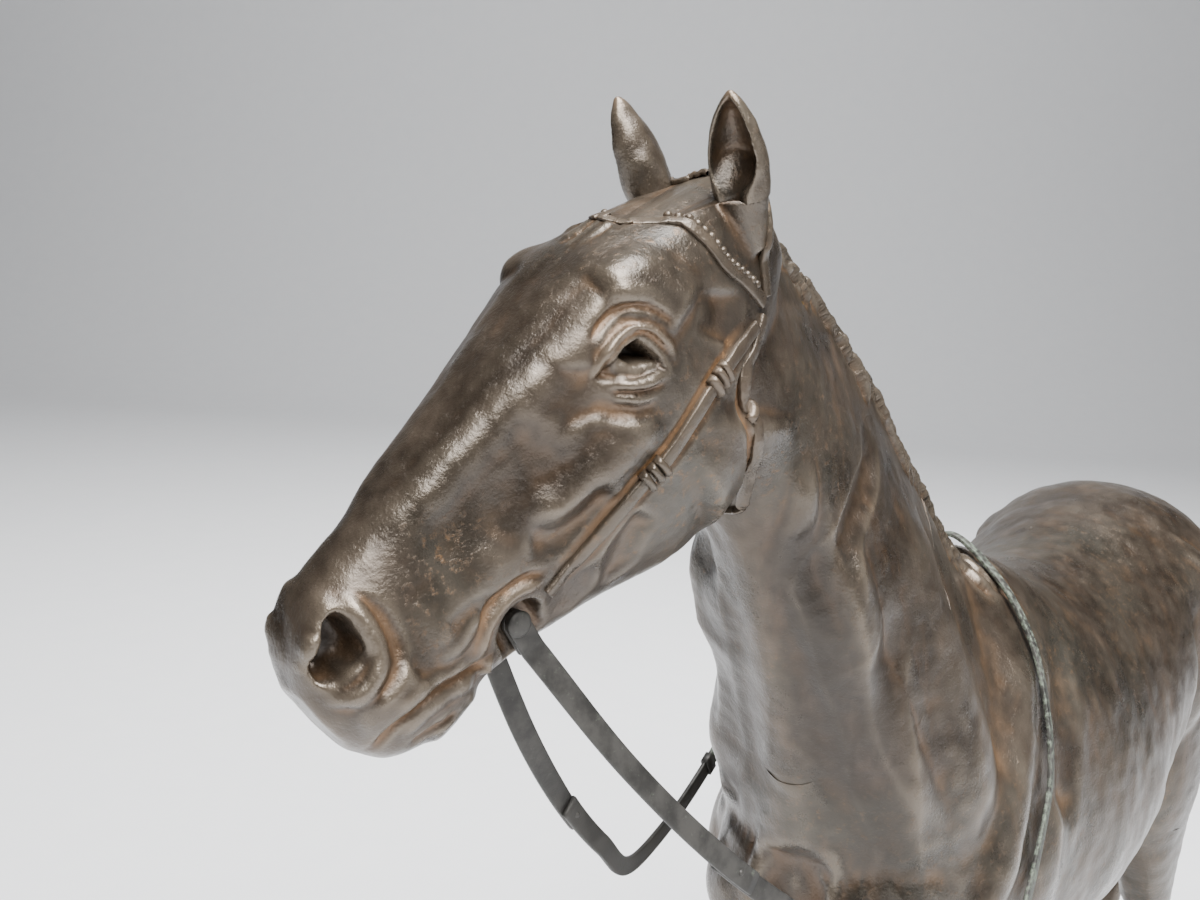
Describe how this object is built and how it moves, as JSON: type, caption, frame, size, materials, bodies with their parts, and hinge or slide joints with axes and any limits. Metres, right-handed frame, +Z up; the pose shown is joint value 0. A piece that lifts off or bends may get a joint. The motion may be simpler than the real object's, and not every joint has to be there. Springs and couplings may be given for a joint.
{
  "type": "bronze horse statue",
  "caption": "Standing bronze horse statue with turned head, short mane, bridle and a bent metal rein strip that can lift off the withers.",
  "frame": {"origin": "on the ground plane, below the middle of the statue's outer box", "axes": "+X forwards towards the head, +Y towards the horse's left side, +Z up"},
  "size_m": [0.4275, 0.0934, 0.3675],
  "materials": {
    "bronze_castings": "brown patinated bronze, satin, ochre in the hollows",
    "bronze_pins": "bare bronze",
    "bridle_straps": "brown patinated bronze, ochre along the edges",
    "rein_strip": "dull dark bronze strip, pale green where it is weathered"
  },
  "bodies": {
    "statue": {"body_casting": "bronze_castings", "neck_casting": "bronze_castings", "head_casting": "bronze_castings", "left_ear": "bronze_castings", "right_ear": "bronze_castings", "left_foreleg": "bronze_castings", "right_foreleg": "bronze_castings", "left_hind_leg": "bronze_castings", "right_hind_leg": "bronze_castings", "tail": "bronze_castings", "leg_pins": "bronze_pins", "neck_dowels": "bronze_pins", "head_dowels": "bronze_pins", "browband": "bridle_straps", "headpiece": "bridle_straps", "left_cheekpiece": "bridle_straps", "right_cheekpiece": "bridle_straps", "throatlatch": "bridle_straps", "left_cheek_buckle": "bridle_straps", "right_cheek_buckle": "bridle_straps", "left_cheek_keepers": "bridle_straps", "right_cheek_keepers": "bridle_straps", "left_throat_buckle": "bridle_straps", "right_throat_buckle": "bridle_straps", "bit_bar": "rein_strip"},
    "reins": {"left_rein_front": "rein_strip", "left_rein_fold": "rein_strip", "left_rein_middle": "rein_strip", "left_rein_rivet": "rein_strip", "left_rein_rear": "rein_strip", "left_rein_keeper": "rein_strip", "right_rein_front": "rein_strip", "right_rein_fold": "rein_strip", "right_rein_middle": "rein_strip", "right_rein_rivet": "rein_strip", "right_rein_rear": "rein_strip", "right_rein_keeper": "rein_strip", "rein_crown": "rein_strip"}
  },
  "joints": [
    {"name": "rein_lift", "type": "hinge", "parent": "statue", "child": "reins", "pos_m": [0.17863, -0.01381, 0.27995], "axis": [0.2554, 0.9668, 0], "range_deg": [0, 8]}
  ]
}
